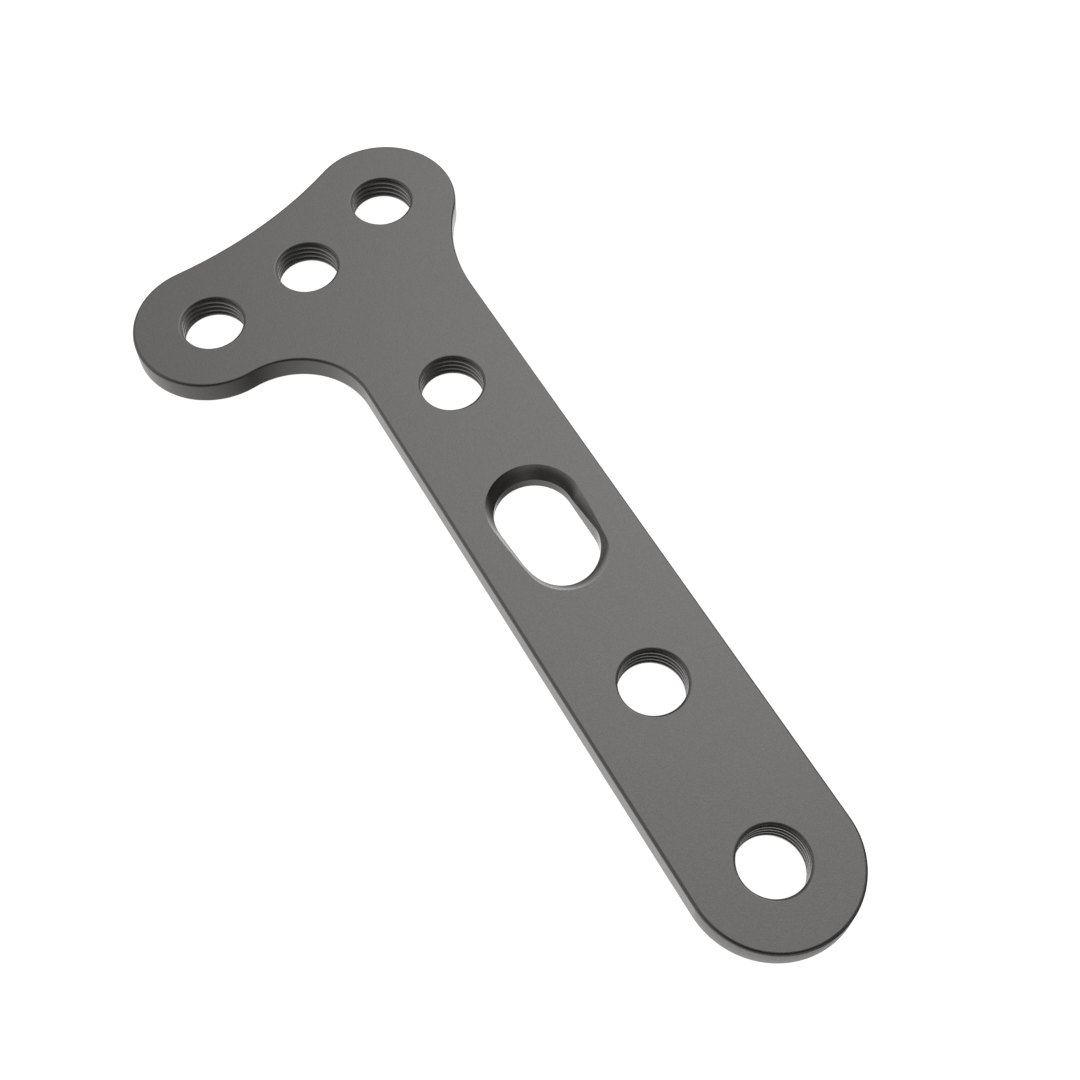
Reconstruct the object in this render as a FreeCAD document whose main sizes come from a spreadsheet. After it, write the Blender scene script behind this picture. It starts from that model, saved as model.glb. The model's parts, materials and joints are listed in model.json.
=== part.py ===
import FreeCAD, Part
import math
import os

import Sketcher

# An oblique T-plate for fixing small bones, machined from one flat piece of metal.
# The narrow shaft carries three threaded holes and one ramped compression slot. The head is
# turned in the plane of the plate and carries three more threaded holes on a shallow arc.
#
# Frame: millimetres. X runs across the shaft, Y along it from the tail towards the head, and
# Z up. The underside lies on Z = 0. The origin is on the axis of the tail hole.

DIMENSIONS = (
    ("shaft_width", 10.0, "width of the shaft, whose tail is a half circle"),
    ("plate_thickness", 1.75, "from the underside to the top face"),
    ("edge_round", 0.2, "round along the outline's top edge"),
    ("edge_chamfer", 0.2, "chamfer along the outline's lower edge"),
    ("hole_pitch", 12.0, "step from hole to hole along the shaft, slot included"),
    ("core_radius", 2.0, "bore of each threaded hole, at the crests of its thread"),
    ("mouth_round", 0.2, "round at the top rim of each threaded hole"),
    ("head_side", 3.84, "middle head hole, to the left of the shaft's centre line"),
    ("head_along", 49.16, "middle head hole, along the shaft from the tail hole"),
    ("head_tilt", 15.5, "turn of the head about the vertical, in degrees"),
    ("head_arc", 33.8, "radius of the arc on which the head's holes lie"),
    ("head_hole_reach", 7.42, "outer head holes, from the head's own centre line"),
    ("lobe_reach", 7.58, "centres of the head's round ends, from that centre line"),
    ("lobe_radius", 5.0, "round ends of the head"),
    ("front_radius", 29.0, "hollow front edge between the round ends"),
    ("short_side_fillet", 10.4, "inner corner from the shaft to the near end of the head"),
    ("long_side_fillet", 5.0, "inner corner from the shaft to the far end of the head"),
    ("slot_width", 5.0, "width of the compression slot"),
    ("slot_travel", 2.92, "between the centres of the slot's round ends"),
    ("slot_shift", 0.05, "slot's middle, nearer the tail than its place in the pitch"),
    ("slot_rim_chamfer", 0.1, "chamfer at the slot's lower rim"),
    ("ball_radius", 3.15, "ball cutter that sinks the ramp into the slot"),
    ("ball_start_rise", 0.94, "centre of the ball over the top face, at the head end"),
    ("ball_end_rise", 1.7, "centre of the ball over the top face, at the tail end"),
    ("ball_overrun", 0.66, "centre of the ball past the slot's tail centre, at its end"),
)

SHEET_NAME = "dims"
size = {name: value for name, value, note in DIMENSIONS}

# Points of a sketch's geometry, and the sketch's own origin, as the constraints name them.
START, END, CENTRE = 1, 2, 3
ORIGIN_GEOMETRY, ORIGIN_POINT = -1, 1
Y_AXIS_GEOMETRY = -2

FLAT = FreeCAD.Vector(0, 0, 1)
NEAR = 1e-4
SHAFT_HOLE_STEPS = (0, 1, 3)
SLOT_STEP = 2

doc = FreeCAD.newDocument("bone_plate")


def make_sheet():
    """Put the driving dimensions in a spreadsheet, one row each."""
    sheet = doc.addObject("Spreadsheet::Sheet", SHEET_NAME)
    for row, (name, value, note) in enumerate(DIMENSIONS, start=1):
        sheet.set(f"A{row}", name)
        sheet.set(f"B{row}", str(value))
        sheet.set(f"C{row}", note)
        sheet.setAlias(f"B{row}", name)
    doc.recompute()


def origin_plane(body, role):
    """Return one of the body's own origin planes."""
    return next(item for item in body.Origin.OriginFeatures if item.Role == role)


def new_sketch(body, name, role):
    """Start a sketch on an origin plane of the body."""
    sketch = body.newObject("Sketcher::SketchObject", name)
    sketch.AttachmentSupport = (origin_plane(body, role), "")
    sketch.MapMode = "FlatFace"
    return sketch


def bind(sketch, formula, kind, *where):
    """Add a constraint whose value follows a formula in the sheet's cells."""
    index = sketch.addConstraint(Sketcher.Constraint(kind, *where))
    sketch.setExpression(f"Constraints[{index}]", formula)


def tie(sketch, kind, *where):
    """Add a constraint that has no value of its own."""
    sketch.addConstraint(Sketcher.Constraint(kind, *where))


def add_line(sketch, first, last):
    return sketch.addGeometry(Part.LineSegment(first, last), False)


def add_arc(sketch, centre, radius, from_degrees, to_degrees):
    circle = Part.Circle(centre, FLAT, radius)
    arc = Part.ArcOfCircle(circle, math.radians(from_degrees), math.radians(to_degrees))
    return sketch.addGeometry(arc, False)


def bearing(start, end):
    """Return the direction from one point to another, in degrees."""
    return math.degrees(math.atan2(end.y - start.y, end.x - start.x))


def head_point(across, forward):
    """Return a point of the plan, given in the head's own axes about its middle hole."""
    turn = FreeCAD.Rotation(FLAT, size["head_tilt"])
    middle = FreeCAD.Vector(-size["head_side"], size["head_along"], 0)
    return middle + turn.multVec(FreeCAD.Vector(across, forward, 0))


def arc_forward(across):
    """Return how far the head's arc has come forward at a distance from its middle."""
    return size["head_arc"] - math.sqrt(size["head_arc"] ** 2 - across ** 2)


def sketch_outline(body):
    """Draw the plan: a round tail, straight sides, two fillets, two lobes, a hollow front."""
    half = size["shaft_width"] / 2
    lobe = size["lobe_radius"]
    reach = size["lobe_reach"]
    forward = arc_forward(reach)
    tail = FreeCAD.Vector(0, 0, 0)
    near_lobe = head_point(reach, forward)
    far_lobe = head_point(-reach, forward)
    front_rise = math.sqrt((size["front_radius"] + lobe) ** 2 - reach ** 2)
    front = head_point(0, forward + front_rise)

    def fillet_centre(side, radius, lobe_centre):
        x = side * (half + radius)
        drop = math.sqrt((radius + lobe) ** 2 - (x - lobe_centre.x) ** 2)
        return FreeCAD.Vector(x, lobe_centre.y - drop, 0)

    near_fillet = fillet_centre(1, size["short_side_fillet"], near_lobe)
    far_fillet = fillet_centre(-1, size["long_side_fillet"], far_lobe)

    sketch = new_sketch(body, "OutlineSketch", "XY_Plane")
    tail_arc = add_arc(sketch, tail, half, 180, 360)
    near_side = add_line(sketch, FreeCAD.Vector(half, 0, 0), FreeCAD.Vector(half, near_fillet.y, 0))
    near_corner = add_arc(
        sketch, near_fillet, size["short_side_fillet"], bearing(near_fillet, near_lobe), 180)
    near_end = add_arc(
        sketch, near_lobe, lobe, bearing(near_lobe, near_fillet), bearing(near_lobe, front))
    front_edge = add_arc(
        sketch, front, size["front_radius"], bearing(front, far_lobe), bearing(front, near_lobe))
    far_end = add_arc(
        sketch, far_lobe, lobe, bearing(far_lobe, front), bearing(far_lobe, far_fillet) + 360)
    far_corner = add_arc(
        sketch, far_fillet, size["long_side_fillet"], 0, bearing(far_fillet, far_lobe))
    far_side = add_line(sketch, FreeCAD.Vector(-half, far_fillet.y, 0), FreeCAD.Vector(-half, 0, 0))

    tie(sketch, "Tangent", tail_arc, END, near_side, START)
    tie(sketch, "Tangent", near_side, END, near_corner, END)
    tie(sketch, "Tangent", near_corner, START, near_end, START)
    tie(sketch, "Tangent", near_end, END, front_edge, END)
    tie(sketch, "Tangent", front_edge, START, far_end, START)
    tie(sketch, "Tangent", far_end, END, far_corner, END)
    tie(sketch, "Tangent", far_corner, START, far_side, START)
    tie(sketch, "Tangent", far_side, END, tail_arc, START)
    tie(sketch, "Coincident", tail_arc, CENTRE, ORIGIN_GEOMETRY, ORIGIN_POINT)
    tie(sketch, "Vertical", near_side)
    tie(sketch, "Vertical", far_side)
    tie(sketch, "Equal", near_end, far_end)

    bind(sketch, "dims.shaft_width / 2", "Radius", tail_arc, half)
    bind(sketch, "dims.lobe_radius", "Radius", near_end, lobe)
    bind(sketch, "dims.front_radius", "Radius", front_edge, size["front_radius"])
    bind(sketch, "dims.short_side_fillet", "Radius", near_corner, size["short_side_fillet"])
    bind(sketch, "dims.long_side_fillet", "Radius", far_corner, size["long_side_fillet"])
    place_on_head(sketch, near_end, "dims.lobe_reach", reach)
    place_on_head(sketch, far_end, "-dims.lobe_reach", -reach)
    return sketch


def place_on_head(sketch, geometry, reach_formula, reach):
    """Hold a centre on the head's arc, at a signed reach from the head's centre line."""
    point = head_point(reach, arc_forward(reach))
    forward = f"(dims.head_arc - sqrt(dims.head_arc ^ 2 - ({reach_formula}) ^ 2))"
    cosine = "cos(dims.head_tilt)"
    sine = "sin(dims.head_tilt)"
    x_formula = f"-dims.head_side + ({reach_formula}) * {cosine} - {forward} * {sine}"
    y_formula = f"dims.head_along + ({reach_formula}) * {sine} + {forward} * {cosine}"
    origin = (ORIGIN_GEOMETRY, ORIGIN_POINT)
    bind(sketch, x_formula, "DistanceX", *origin, geometry, CENTRE, point.x)
    bind(sketch, y_formula, "DistanceY", *origin, geometry, CENTRE, point.y)


def sketch_holes(body):
    """Draw the bores of the threaded holes: along the shaft, and on the head's arc."""
    sketch = new_sketch(body, "HolesSketch", "XY_Plane")
    radius = size["core_radius"]
    first = None

    def add_bore(centre):
        nonlocal first
        bore = sketch.addGeometry(Part.Circle(centre, FLAT, radius), False)
        if first is None:
            first = bore
            bind(sketch, "dims.core_radius", "Radius", bore, radius)
        else:
            tie(sketch, "Equal", first, bore)
        return bore

    for step in SHAFT_HOLE_STEPS:
        along = step * size["hole_pitch"]
        bore = add_bore(FreeCAD.Vector(0, along, 0))
        if step == 0:
            tie(sketch, "Coincident", bore, CENTRE, ORIGIN_GEOMETRY, ORIGIN_POINT)
        else:
            tie(sketch, "PointOnObject", bore, CENTRE, Y_AXIS_GEOMETRY)
            where = (ORIGIN_GEOMETRY, ORIGIN_POINT, bore, CENTRE, along)
            bind(sketch, f"{step} * dims.hole_pitch", "DistanceY", *where)

    for side in (-1, 0, 1):
        reach = side * size["head_hole_reach"]
        bore = add_bore(head_point(reach, arc_forward(reach)))
        place_on_head(sketch, bore, f"{side} * dims.head_hole_reach", reach)
    return sketch


def slot_ends():
    """Return the places of the slot's tail and head centres along the shaft."""
    middle = SLOT_STEP * size["hole_pitch"] - size["slot_shift"]
    return middle - size["slot_travel"] / 2, middle + size["slot_travel"] / 2


def slot_end_formula(sign):
    """Return the formula for the slot's tail (-) or head (+) centre along the shaft."""
    return f"{SLOT_STEP} * dims.hole_pitch - dims.slot_shift {sign} dims.slot_travel / 2"


def sketch_slot(body):
    """Draw the slot that goes right through, a rectangle with round ends."""
    half = size["slot_width"] / 2
    tail_y, head_y = slot_ends()
    sketch = new_sketch(body, "SlotSketch", "XY_Plane")
    tail_end = add_arc(sketch, FreeCAD.Vector(0, tail_y, 0), half, 180, 360)
    right = add_line(sketch, FreeCAD.Vector(half, tail_y, 0), FreeCAD.Vector(half, head_y, 0))
    head_end = add_arc(sketch, FreeCAD.Vector(0, head_y, 0), half, 0, 180)
    left = add_line(sketch, FreeCAD.Vector(-half, head_y, 0), FreeCAD.Vector(-half, tail_y, 0))
    tie(sketch, "Tangent", tail_end, END, right, START)
    tie(sketch, "Tangent", right, END, head_end, START)
    tie(sketch, "Tangent", head_end, END, left, START)
    tie(sketch, "Tangent", left, END, tail_end, START)
    tie(sketch, "PointOnObject", tail_end, CENTRE, Y_AXIS_GEOMETRY)
    tie(sketch, "PointOnObject", head_end, CENTRE, Y_AXIS_GEOMETRY)
    origin = (ORIGIN_GEOMETRY, ORIGIN_POINT)
    bind(sketch, "dims.slot_width / 2", "Radius", head_end, half)
    bind(sketch, slot_end_formula("-"), "DistanceY", *origin, tail_end, CENTRE, tail_y)
    bind(sketch, slot_end_formula("+"), "DistanceY", *origin, head_end, CENTRE, head_y)
    return sketch


def sketch_ball_path(body):
    """Draw half of the form that a ball cutter sweeps, against the line its centre follows.

    The plane is the shaft's long section: the sketch's X is the plate's Y, and its Y is up.
    """
    radius = size["ball_radius"]
    top = size["plate_thickness"]
    tail_y, head_y = slot_ends()
    start = FreeCAD.Vector(head_y, top + size["ball_start_rise"], 0)
    end = FreeCAD.Vector(tail_y - size["ball_overrun"], top + size["ball_end_rise"], 0)
    along = (end - start).normalize()
    down = FreeCAD.Rotation(FLAT, 90).multVec(along)
    heading = bearing(start, end)

    sketch = new_sketch(body, "BallPathSketch", "YZ_Plane")
    axis = add_line(sketch, start - along * radius, end + along * radius)
    end_cap = add_arc(sketch, end, radius, heading, heading + 90)
    flank = add_line(sketch, end + down * radius, start + down * radius)
    start_cap = add_arc(sketch, start, radius, heading + 90, heading + 180)
    tie(sketch, "Coincident", axis, END, end_cap, START)
    tie(sketch, "Tangent", end_cap, END, flank, START)
    tie(sketch, "Tangent", flank, END, start_cap, START)
    tie(sketch, "Coincident", start_cap, END, axis, START)
    tie(sketch, "PointOnObject", end_cap, CENTRE, axis)
    tie(sketch, "PointOnObject", start_cap, CENTRE, axis)
    tie(sketch, "Equal", start_cap, end_cap)

    origin = (ORIGIN_GEOMETRY, ORIGIN_POINT)
    start_rise = "dims.plate_thickness + dims.ball_start_rise"
    end_rise = "dims.plate_thickness + dims.ball_end_rise"
    end_along = slot_end_formula("-") + " - dims.ball_overrun"
    bind(sketch, "dims.ball_radius", "Radius", start_cap, radius)
    bind(sketch, slot_end_formula("+"), "DistanceX", *origin, start_cap, CENTRE, start.x)
    bind(sketch, start_rise, "DistanceY", *origin, start_cap, CENTRE, start.y)
    bind(sketch, end_along, "DistanceX", *origin, end_cap, CENTRE, end.x)
    bind(sketch, end_rise, "DistanceY", *origin, end_cap, CENTRE, end.y)
    return sketch


def edge_names(feature, wanted):
    """Name the edges of a feature's solid that pass a test."""
    edges = enumerate(feature.Shape.Edges, start=1)
    names = [f"Edge{number}" for number, edge in edges if wanted(edge)]
    if not names:
        raise RuntimeError(f"no edge found on {feature.Name}")
    return names


def lies_at(edge, height):
    """Tell whether a whole edge lies at one height."""
    box = edge.BoundBox
    return abs(box.ZMin - height) < NEAR and abs(box.ZMax - height) < NEAR


def round_edges(body, name, base, wanted, formula):
    """Fillet the edges of a feature that pass a test, with a radius from the sheet."""
    fillet = body.newObject("PartDesign::Fillet", name)
    fillet.Base = (base, edge_names(base, wanted))
    fillet.setExpression("Radius", formula)
    doc.recompute()
    return fillet


def chamfer_edges(body, name, base, wanted, formula):
    """Chamfer the edges of a feature that pass a test, with a width from the sheet."""
    chamfer = body.newObject("PartDesign::Chamfer", name)
    chamfer.Base = (base, edge_names(base, wanted))
    chamfer.setExpression("Size", formula)
    doc.recompute()
    return chamfer


def pocket_through(body, name, sketch):
    """Cut a sketch drawn on the underside up through the whole plate."""
    sketch.Visibility = False
    pocket = body.newObject("PartDesign::Pocket", name)
    pocket.Profile = sketch
    pocket.Type = "ThroughAll"
    pocket.Reversed = True
    doc.recompute()
    return pocket


def make_plate():
    """Build the plate in the order in which it is machined."""
    body = doc.addObject("PartDesign::Body", "plate")
    body.Label = "plate"
    top = size["plate_thickness"]

    blank = body.newObject("PartDesign::Pad", "Blank")
    blank.Profile = sketch_outline(body)
    blank.setExpression("Length", "dims.plate_thickness")
    doc.recompute()

    rounded = round_edges(
        body, "TopEdgeRound", blank, lambda edge: lies_at(edge, top), "dims.edge_round")
    chamfered = chamfer_edges(
        body, "LowerEdgeChamfer", rounded, lambda edge: lies_at(edge, 0), "dims.edge_chamfer")

    bores = pocket_through(body, "ThreadedBores", sketch_holes(body))

    def is_bore_mouth(edge):
        curve = edge.Curve
        return (lies_at(edge, top) and isinstance(curve, Part.Circle)
                and abs(curve.Radius - size["core_radius"]) < NEAR)

    mouths = round_edges(body, "BoreMouths", bores, is_bore_mouth, "dims.mouth_round")

    slot = pocket_through(body, "CompressionSlot", sketch_slot(body))
    tail_y, head_y = slot_ends()
    slot_half = size["slot_width"] / 2

    def is_slot_rim(edge):
        box = edge.BoundBox
        inside = box.XMax < slot_half + NEAR and box.YMax < head_y + slot_half + NEAR
        return lies_at(edge, 0) and inside and box.YMin > tail_y - slot_half - NEAR

    slot_rim = chamfer_edges(
        body, "SlotLowerRim", slot, is_slot_rim, "dims.slot_rim_chamfer")

    ball_path = sketch_ball_path(body)
    ramp = body.newObject("PartDesign::Groove", "SlotRamp")
    ramp.Profile = ball_path
    ramp.ReferenceAxis = (ball_path, ["Edge1"])
    ramp.Angle = 360
    doc.recompute()

    stages = (blank, rounded, chamfered, bores, mouths, slot, slot_rim, ramp)
    for before, after in zip(stages, stages[1:]):
        removed = before.Shape.Volume - after.Shape.Volume
        print(f"{after.Name}: removes {removed:.3f} mm3")
        if removed < NEAR:
            raise RuntimeError(f"{after.Name} removes no metal")
    body.Placement = FreeCAD.Placement()
    return body


def check_document():
    """Stop if any object of the document failed to rebuild."""
    for item in doc.Objects:
        if "Invalid" in item.State or "Error" in item.State:
            raise RuntimeError(f"{item.Name} failed: {item.State}")


def export_part(body):
    """Check one finished piece and write it to its own file."""
    shape = body.Shape
    if shape.isNull() or not shape.isValid():
        raise RuntimeError(f"{body.Label} has no valid shape")
    box = shape.optimalBoundingBox(True, False)
    print(f"{body.Label}: {len(shape.Solids)} solid, {shape.Volume:.2f} mm3")
    print(f"  X {box.XMin:.3f} to {box.XMax:.3f}, Y {box.YMin:.3f} to {box.YMax:.3f}, "
          f"Z {box.ZMin:.3f} to {box.ZMax:.3f}")
    shape.exportStep(f"parts/{body.Label}.step")


make_sheet()
plate = make_plate()
doc.recompute()
check_document()
os.makedirs("parts", exist_ok=True)
export_part(plate)
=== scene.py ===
# %% [markdown]
# # An oblique T-plate for small bones
#
# The real thing is one flat piece of titanium, about 62 mm long. It is sawn and milled to its
# outline, its edges are rounded, six holes are drilled and tapped, one long slot is milled right
# through, and a ball cutter then sinks a ramp into the slot. Last, the whole plate is blasted to
# a fine satin grey.
#
# This lesson dresses a finished CAD model. The CAD solid already has the outline, the bores and
# the ramp. What it lacks is the fine thread in the holes, the soft way in which light runs round
# the edges, and the metal itself. So the plate is made again here as one mesh, in the same order
# as in the workshop, and it takes the place of the CAD solid.

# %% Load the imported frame
import json
import math

import bmesh
import bpy
from mathutils import Matrix, Vector


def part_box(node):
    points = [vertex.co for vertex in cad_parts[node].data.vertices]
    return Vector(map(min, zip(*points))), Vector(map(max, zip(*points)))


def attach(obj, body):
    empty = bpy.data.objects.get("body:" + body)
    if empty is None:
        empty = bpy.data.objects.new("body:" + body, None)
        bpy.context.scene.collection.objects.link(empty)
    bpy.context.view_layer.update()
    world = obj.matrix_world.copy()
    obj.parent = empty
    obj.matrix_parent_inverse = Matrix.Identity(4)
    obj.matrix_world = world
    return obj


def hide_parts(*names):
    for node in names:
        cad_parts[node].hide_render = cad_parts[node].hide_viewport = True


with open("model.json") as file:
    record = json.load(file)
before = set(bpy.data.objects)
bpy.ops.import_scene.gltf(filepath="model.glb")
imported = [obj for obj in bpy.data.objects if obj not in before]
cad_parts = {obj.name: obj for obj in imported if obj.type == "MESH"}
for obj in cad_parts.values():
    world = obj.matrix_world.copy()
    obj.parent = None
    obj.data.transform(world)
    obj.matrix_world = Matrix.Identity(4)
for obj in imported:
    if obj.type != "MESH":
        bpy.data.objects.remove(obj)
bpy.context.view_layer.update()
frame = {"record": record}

# %% [markdown]
# ## Sizes
#
# Blender works in metres and a bone plate in millimetres, so one unit, MM, turns the drawing's
# numbers into metres. What the frame knows is read from it: the thickness is the height of the
# CAD node, and the mounts say where each tapped hole stands and how wide its bore is. The rest
# of the drawing is written here once, with a name for each size. Points closer together than
# WELD count as one.

# %% The drawing's sizes
MM = 0.001
WELD = 0.001 * MM

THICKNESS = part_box("plate")[1].z
SHAFT_HALF = 5.0 * MM
EDGE_ROUND = 0.2 * MM
EDGE_CHAMFER = 0.2 * MM
MOUTH_ROUND = 0.2 * MM
LOBE_RADIUS = 5.0 * MM
LOBE_REACH = 7.58 * MM
FRONT_RADIUS = 29.0 * MM
SHORT_SIDE_FILLET = 10.4 * MM
LONG_SIDE_FILLET = 5.0 * MM
HEAD_TILT = math.radians(15.5)
HEAD_ARC = 33.8 * MM

SLOT_HALF = 2.5 * MM
SLOT_TRAVEL = 2.92 * MM
SLOT_SHIFT = 0.05 * MM
SLOT_CHAMFER = 0.1 * MM
BALL_RADIUS = 3.15 * MM
BALL_START_RISE = 0.94 * MM
BALL_END_RISE = 1.7 * MM
BALL_OVERRUN = 0.66 * MM

bores = [mount for mount in frame["record"]["mounts"] if mount["kind"] == "threaded_hole"]
BORE_RADIUS = bores[0]["dims"]["r_mm"] * MM
hole_at = {mount["name"]: Vector(mount["pos_m"]) for mount in bores}
PITCH = hole_at["shaft_hole_middle"].y
print(f"{THICKNESS / MM:.2f} mm thick, {len(bores)} holes of {BORE_RADIUS / MM:.2f} mm radius")

# %% [markdown]
# ## The camera
#
# The camera comes first, because every later choice is judged through it. It orbits a point on
# the plate's top face: a heading and an elevation say where it stands, a distance says how far
# off, and a very small roll gives the picture's slight tilt. A 50 mm lens on Blender's usual 36 mm
# sensor gives the same gentle perspective, in which the tail looks larger than the head.

# %% Place the camera
LENS = 50.0
CAMERA_TARGET = Vector((-0.91 * MM, 23.2 * MM, THICKNESS))
CAMERA_DISTANCE = 89.276 * MM
CAMERA_HEADING = math.radians(-30.261)
CAMERA_ELEVATION = math.radians(59.79)
CAMERA_ROLL = math.radians(0.344)
NEAREST_SEEN = 1 * MM
FARTHEST_SEEN = 2.0

camera_data = bpy.data.cameras.new("camera")
camera_data.lens = LENS
camera_data.clip_start = NEAREST_SEEN
camera_data.clip_end = FARTHEST_SEEN
camera = bpy.data.objects.new("camera", camera_data)
bpy.context.collection.objects.link(camera)
camera.matrix_world = (
    Matrix.Translation(CAMERA_TARGET)
    @ Matrix.Rotation(CAMERA_HEADING, 4, "Z")
    @ Matrix.Rotation(math.pi / 2 - CAMERA_ELEVATION, 4, "X")
    @ Matrix.Rotation(CAMERA_ROLL, 4, "Z")
    @ Matrix.Translation((0, 0, CAMERA_DISTANCE)))
bpy.context.scene.camera = camera
bpy.context.scene.view_settings.view_transform = "Standard"
print("camera stands at, mm:", [round(part / MM, 1) for part in camera.matrix_world.translation])

# %% [markdown]
# ## The blank
#
# The outline is a chain of arcs and straight lines that flow into each other. It could be typed
# in as points, but a draughtsman would use a pair of compasses, and so does this cell. A small
# pen holds the last vertex: `arc` spins it about a centre and `line` extrudes it to a place.

# %% A pen that draws with vertices
ARC_STEP = math.radians(2.0)


def extrude_to(mesh, tip, place):
    """Pull an edge out of a vertex to a place, and return its new end."""
    end = bmesh.ops.extrude_vert_indiv(mesh, verts=[tip])["verts"][0]
    end.co = place
    return end


class Pen:
    """Draw a chain of edges in a bmesh, at one height."""

    def __init__(self, mesh, start):
        self.mesh = mesh
        self.tip = mesh.verts.new(start)

    def line(self, end):
        """Draw a straight edge to the end."""
        self.tip = extrude_to(self.mesh, self.tip, end)

    def arc(self, centre, end, left=False):
        """Swing the tip about a centre to the end's bearing, the short way or to the left."""
        here = self.tip.co - centre
        there = end - centre
        turn = math.atan2(here.x * there.y - here.y * there.x, here.x * there.x + here.y * there.y)
        if left:
            turn %= math.tau
        steps = max(1, round(abs(turn) / ARC_STEP))
        made = bmesh.ops.spin(
            self.mesh, geom=[self.tip], cent=centre, axis=(0, 0, 1), angle=turn, steps=steps)
        self.tip = next(item for item in made["geom_last"] if isinstance(item, bmesh.types.BMVert))


print(f"the pen draws an arc in steps of {math.degrees(ARC_STEP):.0f} degrees")

# %% [markdown]
# The plate's head is turned about its middle hole. Its three holes and its two round ends lie on
# one shallow arc, so a short helper gives any point of that arc from its reach along the head.
# Each other centre follows from the lobes' centres and the radii, because two circles that touch
# are exactly the sum of their radii apart.

# %% The centres of the arcs
def on_head(reach):
    """Return the point of the head's arc at a signed reach from its middle hole."""
    forward = HEAD_ARC - math.sqrt(HEAD_ARC ** 2 - reach ** 2)
    offset = Matrix.Rotation(HEAD_TILT, 3, "Z") @ Vector((reach, forward, 0))
    return hole_at["head_hole_middle"] + offset


def fillet_centre(side, radius, lobe):
    """Return the centre of the inner corner that touches the shaft's side and a lobe."""
    x = side * (SHAFT_HALF + radius)
    drop = math.sqrt((radius + LOBE_RADIUS) ** 2 - (x - lobe.x) ** 2)
    return Vector((x, lobe.y - drop, 0))


near_lobe = on_head(LOBE_REACH)
far_lobe = on_head(-LOBE_REACH)
near_corner = fillet_centre(1, SHORT_SIDE_FILLET, near_lobe)
far_corner = fillet_centre(-1, LONG_SIDE_FILLET, far_lobe)
chord = far_lobe - near_lobe
frontwards = Vector((chord.y, -chord.x, 0)).normalized()
lobes_to_front = math.sqrt((FRONT_RADIUS + LOBE_RADIUS) ** 2 - (chord.length / 2) ** 2)
front_centre = (near_lobe + far_lobe) / 2 + frontwards * lobes_to_front
for name, lobe in (("near", near_lobe), ("far", far_lobe)):
    print(f"{name} lobe at {lobe.x / MM:.2f}, {lobe.y / MM:.2f} mm")

# %% [markdown]
# Now the pen goes once round the plate, from the left side of the shaft through the tail, up the
# right side and round the head. Where one arc hands over to the next, the point lies on the line
# between their centres.

# %% Draw the outline
def between(first, second, distance):
    """Return the point on the way from one centre to another, at a distance from the first."""
    return first + (second - first).normalized() * distance


blank = bmesh.new()
pen = Pen(blank, Vector((-SHAFT_HALF, 0, 0)))
first = pen.tip
pen.arc(Vector((0, 0, 0)), Vector((0, -SHAFT_HALF, 0)))
pen.arc(Vector((0, 0, 0)), Vector((SHAFT_HALF, 0, 0)))
pen.line(Vector((SHAFT_HALF, near_corner.y, 0)))
pen.arc(near_corner, between(near_corner, near_lobe, SHORT_SIDE_FILLET))
pen.arc(near_lobe, between(near_lobe, front_centre, LOBE_RADIUS), left=True)
pen.arc(front_centre, between(front_centre, far_lobe, FRONT_RADIUS))
pen.arc(far_lobe, between(far_lobe, far_corner, LOBE_RADIUS), left=True)
pen.arc(far_corner, Vector((-SHAFT_HALF, far_corner.y, 0)))
pen.line(first.co.copy())
bmesh.ops.remove_doubles(blank, verts=blank.verts, dist=WELD)
print(f"outline: {len(blank.verts)} points, {len(blank.edges)} edges")

# %% [markdown]
# The closed chain becomes a face, and the face is raised to the plate's thickness. The top edge is
# then rounded and the lower edge chamfered. Both are a bevel, with many segments or with one.

# %% Raise the blank and work its edges
EDGE_SEGMENTS = 8
LEVEL_TOLERANCE = 0.01 * MM

outline = bmesh.ops.contextual_create(blank, geom=blank.edges)["faces"]
raised = bmesh.ops.extrude_face_region(blank, geom=outline)["geom"]
raised = [item for item in raised if isinstance(item, bmesh.types.BMVert)]
bmesh.ops.translate(blank, verts=raised, vec=(0, 0, THICKNESS))
bmesh.ops.recalc_face_normals(blank, faces=blank.faces)


def edges_at(mesh, height):
    """Return the edges that lie level at a height."""
    return [edge for edge in mesh.edges
            if all(abs(vert.co.z - height) < LEVEL_TOLERANCE for vert in edge.verts)]


for height, width, segments in ((THICKNESS, EDGE_ROUND, EDGE_SEGMENTS), (0, EDGE_CHAMFER, 1)):
    bmesh.ops.bevel(
        blank, geom=edges_at(blank, height), offset=width, offset_type="OFFSET",
        segments=segments, profile=0.5, affect="EDGES", material=-1)
print(f"blank: {len(blank.faces)} faces")

# %% [markdown]
# ## Cutters
#
# The holes could be modelled face by face, but a workshop doesn't do that, and neither does this
# lesson: it makes the cutting tools as closed forms and takes them away from the blank. There are
# four: a tap with a real screw thread, a small cutter that rounds each hole's mouth, a milling
# path for the slot, and the ball cutter's path for the ramp.
#
# The helpers come first: they draw a chain of edges, close a tube's ends, cut it level, and put a
# finished mesh into the scene.

# %% Helpers for the cutters
def draw_chain(mesh, places):
    """Draw a chain of edges through places."""
    tip = mesh.verts.new(places[0])
    for place in places[1:]:
        tip = extrude_to(mesh, tip, place)


def cap_ends(mesh):
    """Close every open rim of a tube with one face, and turn all faces outwards."""
    rims = [edge for edge in mesh.edges if edge.is_boundary]
    bmesh.ops.holes_fill(mesh, edges=rims)
    bmesh.ops.recalc_face_normals(mesh, faces=mesh.faces)


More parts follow.
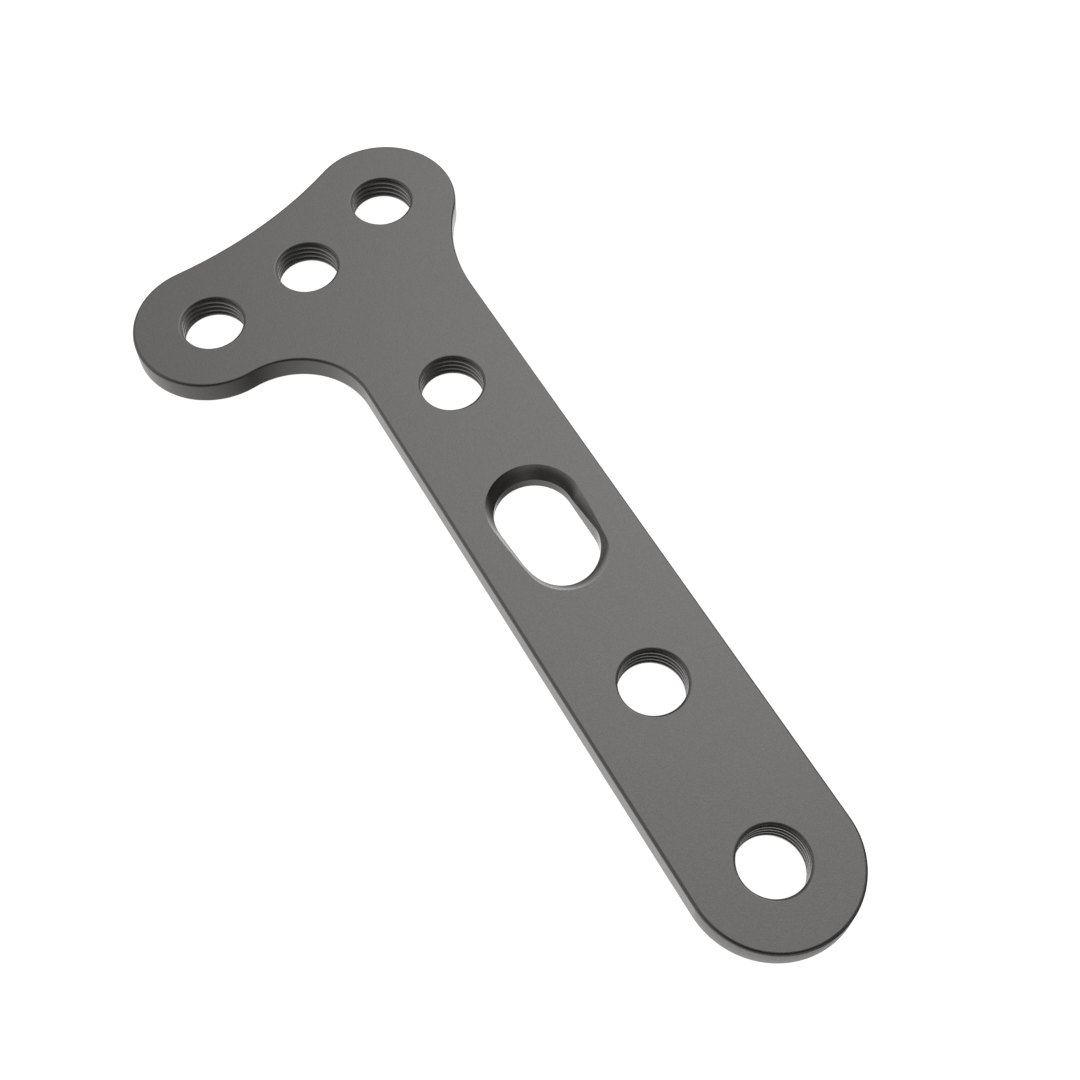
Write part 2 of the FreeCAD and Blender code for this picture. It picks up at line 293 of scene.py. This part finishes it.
def cut_level(mesh, height, keep_below):
    """Cut a tube level at a height and keep one side."""
    bmesh.ops.bisect_plane(
        mesh, geom=[*mesh.verts, *mesh.edges, *mesh.faces], plane_co=(0, 0, height),
        plane_no=(0, 0, 1), clear_outer=keep_below, clear_inner=not keep_below)


def object_from(name, mesh):
    """Put a finished bmesh into the scene as an object at the origin."""
    data = bpy.data.meshes.new(name)
    mesh.to_mesh(data)
    mesh.free()
    made = bpy.data.objects.new(name, data)
    bpy.context.collection.objects.link(made)
    return made


# %% [markdown]
# The tap is the interesting cutter. One turn of thread is a short profile. Spun about the hole's
# axis while it climbs by one pitch, it ends exactly one pitch above its start, so further turns
# fit on it without a seam. The crests of the plate's thread are the narrow parts of the tap.

# %% The tap's sizes
THREAD_PITCH = 0.4 * MM
THREAD_DEPTH = 0.17 * MM
CREST_FLAT = 0.13 * MM
ROOT_FLAT = 0.04 * MM
CREST_BELOW_TOP = 0.455 * MM
CREST_BEARING = math.radians(50.0)
TURN_STEPS = 96
OVERSHOOT = 0.3 * MM

turns = math.ceil((THICKNESS + 2 * OVERSHOOT) / THREAD_PITCH) + 2
crest_height = THICKNESS - CREST_BELOW_TOP - THREAD_PITCH * CREST_BEARING / math.tau
tap_foot = crest_height - THREAD_PITCH * math.ceil((crest_height + OVERSHOOT) / THREAD_PITCH + 1)
print(f"tap: {turns} turns from {tap_foot / MM:.2f} mm up, before it is cut level")

# %% [markdown]
# The tap's profile starts and ends in the middle of a crest. It runs out along one flank to the
# flat root and back along the other. The tube that the spin leaves is cut level above and below
# the plate, and closed.

# %% Make the taps
def make_tap():
    """Return a closed tap on the Z axis that reaches through the plate and past both faces."""
    tap = bmesh.new()
    root_radius = BORE_RADIUS + THREAD_DEPTH
    flank = (THREAD_PITCH - CREST_FLAT - ROOT_FLAT) / 2
    profile = (
        (BORE_RADIUS, 0), (BORE_RADIUS, CREST_FLAT / 2), (root_radius, CREST_FLAT / 2 + flank),
        (root_radius, CREST_FLAT / 2 + flank + ROOT_FLAT),
        (BORE_RADIUS, THREAD_PITCH - CREST_FLAT / 2), (BORE_RADIUS, THREAD_PITCH))
    draw_chain(tap, [(radius, 0, tap_foot + height) for radius, height in profile])
    bmesh.ops.spin(
        tap, geom=[*tap.verts, *tap.edges], cent=(0, 0, 0), axis=(0, 0, 1),
        dvec=(0, 0, THREAD_PITCH / TURN_STEPS), angle=math.tau * turns, steps=TURN_STEPS * turns)
    bmesh.ops.remove_doubles(tap, verts=tap.verts, dist=WELD)
    cut_level(tap, THICKNESS + OVERSHOOT, keep_below=True)
    cut_level(tap, -OVERSHOOT, keep_below=False)
    cap_ends(tap)
    return tap


def in_every_hole(tool):
    """Return one mesh that holds a copy of a tool at each tapped hole."""
    single = bpy.data.meshes.new("single_tool")
    tool.to_mesh(single)
    tool.free()
    row = bmesh.new()
    for place in hole_at.values():
        before = set(row.verts)
        row.from_mesh(single)
        added = [vert for vert in row.verts if vert not in before]
        bmesh.ops.translate(row, verts=added, vec=(place.x, place.y, 0))
    bpy.data.meshes.remove(single)
    return row


taps = object_from("taps", in_every_hole(make_tap()))
print(f"taps: {len(taps.data.polygons)} faces")

# %% [markdown]
# The mouth cutter is a turned form: a stem as wide as the bore, which flares in a quarter round
# up to the top face. A full spin of its half profile about the hole's axis makes it.

# %% The mouth cutter
MOUTH_SEGMENTS = 8


def quarter_turn(segments):
    """Return the angles that divide a quarter of a turn into equal segments."""
    return [math.pi / 2 * step / segments for step in range(segments + 1)]


def turned(profile, steps):
    """Return the closed form that a half profile makes when it spins once round the Z axis."""
    form = bmesh.new()
    draw_chain(form, profile)
    bmesh.ops.spin(
        form, geom=[*form.verts, *form.edges], cent=(0, 0, 0), axis=(0, 0, 1),
        angle=math.tau, steps=steps, use_merge=True)
    bmesh.ops.remove_doubles(form, verts=form.verts, dist=WELD)
    bmesh.ops.recalc_face_normals(form, faces=form.faces)
    return form


def make_mouth_cutter():
    """Return a closed, turned cutter that rounds the top rim of a bore."""
    foot = THICKNESS - MOUTH_ROUND
    head = THICKNESS + OVERSHOOT
    flare = [
        (BORE_RADIUS + MOUTH_ROUND * (1 - math.cos(turn)), 0,
         THICKNESS - MOUTH_ROUND * (1 - math.sin(turn)))
        for turn in quarter_turn(MOUTH_SEGMENTS)]
    rim = BORE_RADIUS + MOUTH_ROUND
    return turned([(0, 0, foot), *flare, (rim, 0, head), (0, 0, head)], TURN_STEPS)


mouths = object_from("mouths", in_every_hole(make_mouth_cutter()))
print(f"mouth cutters: {len(mouths.data.polygons)} faces")

# %% [markdown]
# The slot is a stack of level loops, each a rectangle with round ends: they narrow at the
# underside, where its lower rim has a small chamfer, and then go straight up past the top. The
# loops have the same number of points, so `bridge_loops` joins them into a wall.

# %% The slot cutter
slot_middle = 2 * PITCH - SLOT_SHIFT
slot_tail = Vector((0, slot_middle - SLOT_TRAVEL / 2, 0))
slot_head = Vector((0, slot_middle + SLOT_TRAVEL / 2, 0))


def slot_loop(mesh, half, height):
    """Draw one closed loop of the slot at a height, and return its edges."""
    before = set(mesh.edges)
    lift = Vector((0, 0, height))
    side = Vector((half, 0, 0))
    pen = Pen(mesh, slot_tail - side + lift)
    start = pen.tip
    pen.arc(slot_tail + lift, slot_tail + lift + side, left=True)
    pen.line(slot_head + side + lift)
    pen.arc(slot_head + lift, slot_head + lift - side, left=True)
    pen.line(start.co.copy())
    made = [edge for edge in mesh.edges if edge not in before]
    bmesh.ops.pointmerge(mesh, verts=[start, pen.tip], merge_co=start.co)
    return [edge for edge in made if edge.is_valid]


def make_slot_cutter():
    """Return a closed cutter for the slot, with the chamfer of its lower rim."""
    cutter = bmesh.new()
    loops = [
        slot_loop(cutter, SLOT_HALF + SLOT_CHAMFER, -OVERSHOOT),
        slot_loop(cutter, SLOT_HALF + SLOT_CHAMFER, 0),
        slot_loop(cutter, SLOT_HALF, SLOT_CHAMFER),
        slot_loop(cutter, SLOT_HALF, THICKNESS + OVERSHOOT)]
    for lower, upper in zip(loops, loops[1:]):
        bmesh.ops.bridge_loops(cutter, edges=[*lower, *upper])
    cap_ends(cutter)
    return cutter


slot = object_from("slot", make_slot_cutter())
print(f"slot cutter: {len(slot.data.polygons)} faces")

# %% [markdown]
# The ramp is what lets a screw's round head slide down and pull the broken bone together. A ball
# cutter makes it: its centre travels along a line that climbs from the slot's head end towards
# the tail, so it cuts deep at one end and shallow at the other. The space that it sweeps is a
# capsule: two half balls and the tube between them, turned from one half profile.

# %% The ball cutter's path
BALL_STEPS = 96


def make_ball_sweep():
    """Return the closed capsule that the ball cutter sweeps."""
    start = slot_head + Vector((0, 0, THICKNESS + BALL_START_RISE))
    end = slot_tail + Vector((0, -BALL_OVERRUN, THICKNESS + BALL_END_RISE))
    travel = end - start
    quarter = quarter_turn(BALL_STEPS // 4)
    lower = [(BALL_RADIUS * math.sin(turn), 0, -BALL_RADIUS * math.cos(turn)) for turn in quarter]
    upper = [(BALL_RADIUS * math.cos(turn), 0, travel.length + BALL_RADIUS * math.sin(turn))
             for turn in quarter]
    sweep = turned([*lower, *upper], BALL_STEPS)
    aim = travel.to_track_quat("Z", "Y").to_matrix().to_4x4()
    bmesh.ops.transform(sweep, matrix=Matrix.Translation(start) @ aim, verts=sweep.verts)
    return sweep


ball_sweep = object_from("ball_sweep", make_ball_sweep())
print(f"ball sweep: {len(ball_sweep.data.polygons)} faces")

# %% [markdown]
# ## Cutting
#
# A Boolean modifier takes one form away from another. Its exact solver is slower than the fast
# one but copes with the many faces that nearly touch here. The modifiers are evaluated once, the
# result becomes the plate's own mesh, and the cutters go.

# %% Take the cutters away from the blank
plate = object_from("threaded_plate", blank)
cutters = (slot, ball_sweep, mouths, taps)
for cutter in cutters:
    cut = plate.modifiers.new(f"cut_{cutter.name}", "BOOLEAN")
    cut.operation = "DIFFERENCE"
    cut.solver = "EXACT"
    cut.object = cutter
finished = bpy.data.meshes.new_from_object(
    plate.evaluated_get(bpy.context.evaluated_depsgraph_get()))
plate.modifiers.clear()
rough = plate.data
plate.data = finished
plate.data.name = "threaded_plate"
bpy.data.meshes.remove(rough)
for cutter in cutters:
    data = cutter.data
    bpy.data.objects.remove(cutter)
    bpy.data.meshes.remove(data)
print(f"plate: {len(plate.data.polygons)} faces after cutting")

# %% [markdown]
# ## Clean edges
#
# Where light runs smoothly round a form, its faces are smooth, and where two cuts meet, the edge
# between them is marked sharp. A Weighted Normal modifier then lets the large faces decide how
# they shade, so that the flat top stays perfectly flat right up to its rounded rim.

# %% Merge doubles and mark the sharp edges
SHARP_ANGLE = math.radians(28.0)
FINE_WELD = 0.0005 * MM
LARGE_FACES_LEAD = 100

tidy = bmesh.new()
tidy.from_mesh(plate.data)
bmesh.ops.remove_doubles(tidy, verts=tidy.verts, dist=FINE_WELD)
bmesh.ops.dissolve_degenerate(tidy, edges=tidy.edges, dist=FINE_WELD)
open_edges = [edge for edge in tidy.edges if not edge.is_manifold]
for face in tidy.faces:
    face.smooth = True
for edge in tidy.edges:
    edge.smooth = edge.calc_face_angle(0.0) < SHARP_ANGLE
tidy.to_mesh(plate.data)
tidy.free()
weighting = plate.modifiers.new("weighted_normals", "WEIGHTED_NORMAL")
weighting.mode = "FACE_AREA"
weighting.weight = LARGE_FACES_LEAD
weighting.keep_sharp = True
plate.data.calc_loop_triangles()
print(f"plate: {len(plate.data.loop_triangles)} triangles, {len(open_edges)} open edges")

# %% [markdown]
# ## Blasted titanium
#
# Blasting with fine beads leaves thousands of tiny shallow dimples. From arm's length they can't
# be seen one by one: they soften every reflection, and only a faint grain is left on the flats.
# An image of the grain would need a layout on the surface and would smear over the round edges. A
# pattern that is worked out in space, from Object coordinates, has the same size on every face.
#
# The grain is a node group, so another metal could use it with its own values. It puts out a
# height for the bump, a roughness, and a shade that makes the metal a touch lighter or darker.
# Two helpers come first: one makes an empty group with named sockets, the other adds a sum.

# %% Helpers for node groups
def new_group(name, inputs, outputs):
    """Return an empty node group with named sockets, its input node and its output node."""
    group = bpy.data.node_groups.new(name, "ShaderNodeTree")
    for label, kind in inputs:
        group.interface.new_socket(label, in_out="INPUT", socket_type=f"NodeSocket{kind}")
    for label, kind in outputs:
        group.interface.new_socket(label, in_out="OUTPUT", socket_type=f"NodeSocket{kind}")
    return group, group.nodes.new("NodeGroupInput"), group.nodes.new("NodeGroupOutput")


def math_node(tree, operation, *values):
    """Add a Math node fed by sockets or numbers, and return its output."""
    node = tree.nodes.new("ShaderNodeMath")
    node.operation = operation
    for socket, value in zip(node.inputs, values):
        if isinstance(value, bpy.types.NodeSocket):
            tree.links.new(value, socket)
        else:
            socket.default_value = value
    return node.outputs["Value"]


# %% [markdown]
# The dimples are a Voronoi pattern, whose smooth distance looks like a bed of small pits, and fine
# grit breaks it up. The same grit gives the shade, so that the metal is speckled and not blotchy.
# Larger, softer patches vary the roughness, because no one blasts quite evenly.

# %% The blasted grain as a node group
GRIT_DETAIL = 2.0
PATCH_DETAIL = 3.0
MIDDLE = 0.5


def blasted_grain():
    """Return the node group that turns a position into the blasted metal's fine variations."""
    group, taken, given = new_group(
        "blasted_grain",
        [("Position", "Vector"), ("Dimples per Metre", "Float"), ("Patches per Metre", "Float"),
         ("Base Roughness", "Float"), ("Roughness Spread", "Float"), ("Shade Spread", "Float")],
        [("Height", "Float"), ("Roughness", "Float"), ("Shade", "Float")])
    dimples = group.nodes.new("ShaderNodeTexVoronoi")
    dimples.feature = "SMOOTH_F1"
    grit = group.nodes.new("ShaderNodeTexNoise")
    grit.inputs["Detail"].default_value = GRIT_DETAIL
    patches = group.nodes.new("ShaderNodeTexNoise")
    patches.inputs["Detail"].default_value = PATCH_DETAIL
    for texture, density in ((dimples, "Dimples per Metre"), (grit, "Dimples per Metre"),
                             (patches, "Patches per Metre")):
        group.links.new(taken.outputs["Position"], texture.inputs["Vector"])
        group.links.new(taken.outputs[density], texture.inputs["Scale"])
    height = math_node(group, "ADD", dimples.outputs["Distance"], grit.outputs["Fac"])
    uneven = math_node(group, "SUBTRACT", patches.outputs["Fac"], MIDDLE)
    speckled = math_node(group, "SUBTRACT", grit.outputs["Fac"], MIDDLE)
    rough = math_node(group, "MULTIPLY", uneven, taken.outputs["Roughness Spread"])
    shade = math_node(group, "MULTIPLY", speckled, taken.outputs["Shade Spread"])
    group.links.new(height, given.inputs["Height"])
    group.links.new(
        math_node(group, "ADD", rough, taken.outputs["Base Roughness"]), given.inputs["Roughness"])
    group.links.new(math_node(group, "ADD", shade, 1.0), given.inputs["Shade"])
    return group


grain = blasted_grain()
print("grain sockets:", [socket.name for socket in grain.interface.items_tree])

# %% [markdown]
# The metal itself is a Principled shader that is fully metallic. Its base colour is a middle grey
# with a little more red than blue, chosen together with the room's lamps so that the top looks as
# grey as in the photograph. The grain's shade multiplies that colour. A Mix node for colours still
# carries the sockets of its other kinds, so its three colour sockets are reached by their places.

# %% The metal
TITANIUM = (0.310, 0.300, 0.296, 1.0)
DIMPLE_DEPTH = 0.0035 * MM
GRAIN_VALUES = {
    "Dimples per Metre": 14000.0, "Patches per Metre": 900.0,
    "Base Roughness": 0.27, "Roughness Spread": 0.05, "Shade Spread": 0.38}
FIRST_COLOUR, SECOND_COLOUR, MIXED_COLOUR = 6, 7, 2

metal = bpy.data.materials.new("satin_titanium")
metal.use_nodes = True
nodes = metal.node_tree.nodes
links = metal.node_tree.links
shader = nodes["Principled BSDF"]
shader.inputs["Metallic"].default_value = 1.0
position = nodes.new("ShaderNodeTexCoord")
blasting = nodes.new("ShaderNodeGroup")
blasting.node_tree = grain
for label, value in GRAIN_VALUES.items():
    blasting.inputs[label].default_value = value
tint = nodes.new("ShaderNodeMix")
tint.data_type = "RGBA"
tint.blend_type = "MULTIPLY"
tint.inputs["Factor"].default_value = 1.0
tint.inputs[FIRST_COLOUR].default_value = TITANIUM
bump = nodes.new("ShaderNodeBump")
bump.inputs["Distance"].default_value = DIMPLE_DEPTH
links.new(position.outputs["Object"], blasting.inputs["Position"])
links.new(blasting.outputs["Shade"], tint.inputs[SECOND_COLOUR])
links.new(tint.outputs[MIXED_COLOUR], shader.inputs["Base Color"])
links.new(blasting.outputs["Roughness"], shader.inputs["Roughness"])
links.new(blasting.outputs["Height"], bump.inputs["Height"])
links.new(bump.outputs["Normal"], shader.inputs["Normal"])
plate.data.materials.clear()
plate.data.materials.append(metal)
print(f"metal: {len(nodes)} nodes, base colour {TITANIUM[:3]}")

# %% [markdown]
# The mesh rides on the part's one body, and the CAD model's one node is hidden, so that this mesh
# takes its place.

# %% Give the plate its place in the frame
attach(plate, "root")
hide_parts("plate")
print(f"{plate.name} replaces the CAD plate")

# %% [markdown]
# ## The floor
#
# The plate lies on a plain white sheet. The sheet's own glow is seen by the camera alone: it makes
# the picture's background white without more light on the plate. The sheet takes the plate's
# shadow too, but its glow and the light on it add up to more than white, so no shadow shows in the
# picture, and none shows in the photograph. The metal doesn't mirror this sheet, because an all
# white room washes out the dark lines along its rounded edges. The room below has its own soft
# lamps for the table.

# %% The floor
FLOOR_HALF = 1.0
PAPER = (0.8, 0.8, 0.8, 1.0)
PAPER_GLOW = 0.85

floor_mesh = bmesh.new()
bmesh.ops.create_grid(floor_mesh, x_segments=1, y_segments=1, size=FLOOR_HALF)
floor = object_from("floor", floor_mesh)
floor.visible_glossy = False
paper = bpy.data.materials.new("white_paper")
paper.use_nodes = True
nodes = paper.node_tree.nodes
links = paper.node_tree.links
paper_shader = nodes["Principled BSDF"]
paper_shader.inputs["Base Color"].default_value = PAPER
paper_shader.inputs["Roughness"].default_value = 1.0
paper_shader.inputs["Specular IOR Level"].default_value = 0.0
glow = nodes.new("ShaderNodeEmission")
glow.inputs["Strength"].default_value = PAPER_GLOW
both = nodes.new("ShaderNodeAddShader")
seen = nodes.new("ShaderNodeMixShader")
path = nodes.new("ShaderNodeLightPath")
links.new(paper_shader.outputs["BSDF"], both.inputs[0])
links.new(glow.outputs["Emission"], both.inputs[1])
links.new(path.outputs["Is Camera Ray"], seen.inputs["Fac"])
links.new(paper_shader.outputs["BSDF"], seen.inputs[1])
links.new(both.outputs["Shader"], seen.inputs[2])
links.new(seen.outputs["Shader"], nodes["Material Output"].inputs["Surface"])
floor.data.materials.append(paper)
print(f"floor: a white sheet, {2 * FLOOR_HALF:.0f} m wide")

# %% [markdown]
# ## The room
#
# Bare metal has hardly a colour of its own. It shows the room round it, so the room is what makes
# it look like metal. Here the room is the world's shader: dark on the camera's side, with soft
# lamps. Each lamp is a round glow in one direction, which fades by one formula, so one node group
# makes them all: strength times e to the power of focus times (cosine - 1), where the cosine is
# that of the angle between the ray and the lamp.

# %% A soft lamp as a node group
def soft_lamp():
    """Return a node group that gives one soft lamp's light in the direction of a ray."""
    group, taken, given = new_group(
        "soft_lamp",
        [("Direction", "Vector"), ("Toward", "Vector"), ("Focus", "Float"), ("Strength", "Float")],
        [("Light", "Float")])
    aligned = group.nodes.new("ShaderNodeVectorMath")
    aligned.operation = "DOT_PRODUCT"
    group.links.new(taken.outputs["Direction"], aligned.inputs[0])
    group.links.new(taken.outputs["Toward"], aligned.inputs[1])
    off_axis = math_node(group, "SUBTRACT", aligned.outputs["Value"], 1.0)
    falloff = math_node(group, "MULTIPLY", off_axis, taken.outputs["Focus"])
    glow = math_node(group, "EXPONENT", falloff)
    group.links.new(
        math_node(group, "MULTIPLY", glow, taken.outputs["Strength"]), given.inputs["Light"])
    return group


lamp_group = soft_lamp()
print("soft lamp sockets:", [socket.name for socket in lamp_group.interface.items_tree])

# %% [markdown]
# The lamps stand where the plate's bright and dark places say that they stood. A flat face mirrors
# one direction, so the top shows the key lamp, the walls show the table, and the round edges sweep
# through all that lies between, the dark side of the room too. Each line gives a lamp's bearing
# and height in degrees, how tightly it is focused, and its strength.

# %% The room's lamps
WHITE = (1.0, 1.0, 1.0, 1.0)
ROOM_LIGHT = 0.5
BACKGROUND = 1.0
DARK_ROOM = 0.008
LAMPS = (
    ("key_lamp", 41.0, 47.7, 6.2, 0.775),
    ("ceiling", 0.0, 87.0, 19.0, 0.18),
    ("side_lamp", 147.0, 26.5, 5.1, 0.30),
    ("camera_side", -103.0, -11.0, 8.0, 0.22),
    ("table_far", 61.0, -60.5, 16.0, 1.55),
    ("table_middle", -23.0, -88.0, 22.0, 1.20),
    ("table_left", 152.5, -49.0, 10.6, 0.38),
    ("table_near", -128.0, -60.0, 7.2, 0.22),
    ("far_edge", 108.7, -25.7, 6.4, 0.68),
    ("left_edge", -161.0, -25.0, 7.6, 0.29),
    ("right_edge", 38.0, -24.0, 11.0, 0.80),
    ("right_fill", -42.0, 13.0, 9.0, 0.15),
)


def direction(bearing, height):
    """Return the unit vector at a bearing and a height, both in degrees."""
    level = math.cos(math.radians(height))
    turn = math.radians(bearing)
    return Vector((level * math.cos(turn), level * math.sin(turn), math.sin(math.radians(height))))


world = bpy.data.worlds.new("studio")
bpy.context.scene.world = world
world.use_nodes = True
nodes = world.node_tree.nodes
links = world.node_tree.links
looking = nodes.new("ShaderNodeTexCoord")
light = DARK_ROOM
for name, bearing, height, focus, strength in LAMPS:
    lamp = nodes.new("ShaderNodeGroup")
    lamp.name = name
    lamp.node_tree = lamp_group
    lamp.inputs["Toward"].default_value = direction(bearing, height)
    lamp.inputs["Focus"].default_value = focus
    lamp.inputs["Strength"].default_value = strength
    links.new(looking.outputs["Object"], lamp.inputs["Direction"])
    light = math_node(world.node_tree, "ADD", light, lamp.outputs["Light"])
print(f"room: {len(LAMPS)} soft lamps")

# %% [markdown]
# Three kinds of ray ask the world for light. A ray that the metal mirrors gets the lamps. A ray
# from the camera gets plain white, as the picture's background has. Every other ray, such as one
# that lights the sheet, gets an even, half bright sky.

# %% Who sees what
def background(strength):
    """Add a white background of a strength, which is a number or a socket."""
    shade = nodes.new("ShaderNodeBackground")
    shade.inputs["Color"].default_value = WHITE
    if isinstance(strength, bpy.types.NodeSocket):
        links.new(strength, shade.inputs["Strength"])
    else:
        shade.inputs["Strength"].default_value = strength
    return shade.outputs["Background"]


def choose(share, without, given):
    """Add a Mix Shader between two shaders and return its output."""
    mix = nodes.new("ShaderNodeMixShader")
    for socket, value in zip(mix.inputs, (share, without, given)):
        links.new(value, socket)
    return mix.outputs["Shader"]


path = nodes.new("ShaderNodeLightPath")
seen_by_metal = choose(path.outputs["Is Glossy Ray"], background(ROOM_LIGHT), background(light))
seen_by_all = choose(path.outputs["Is Camera Ray"], seen_by_metal, background(BACKGROUND))
links.new(seen_by_all, nodes["World Output"].inputs["Surface"])
print(f"world: {len(nodes)} nodes")
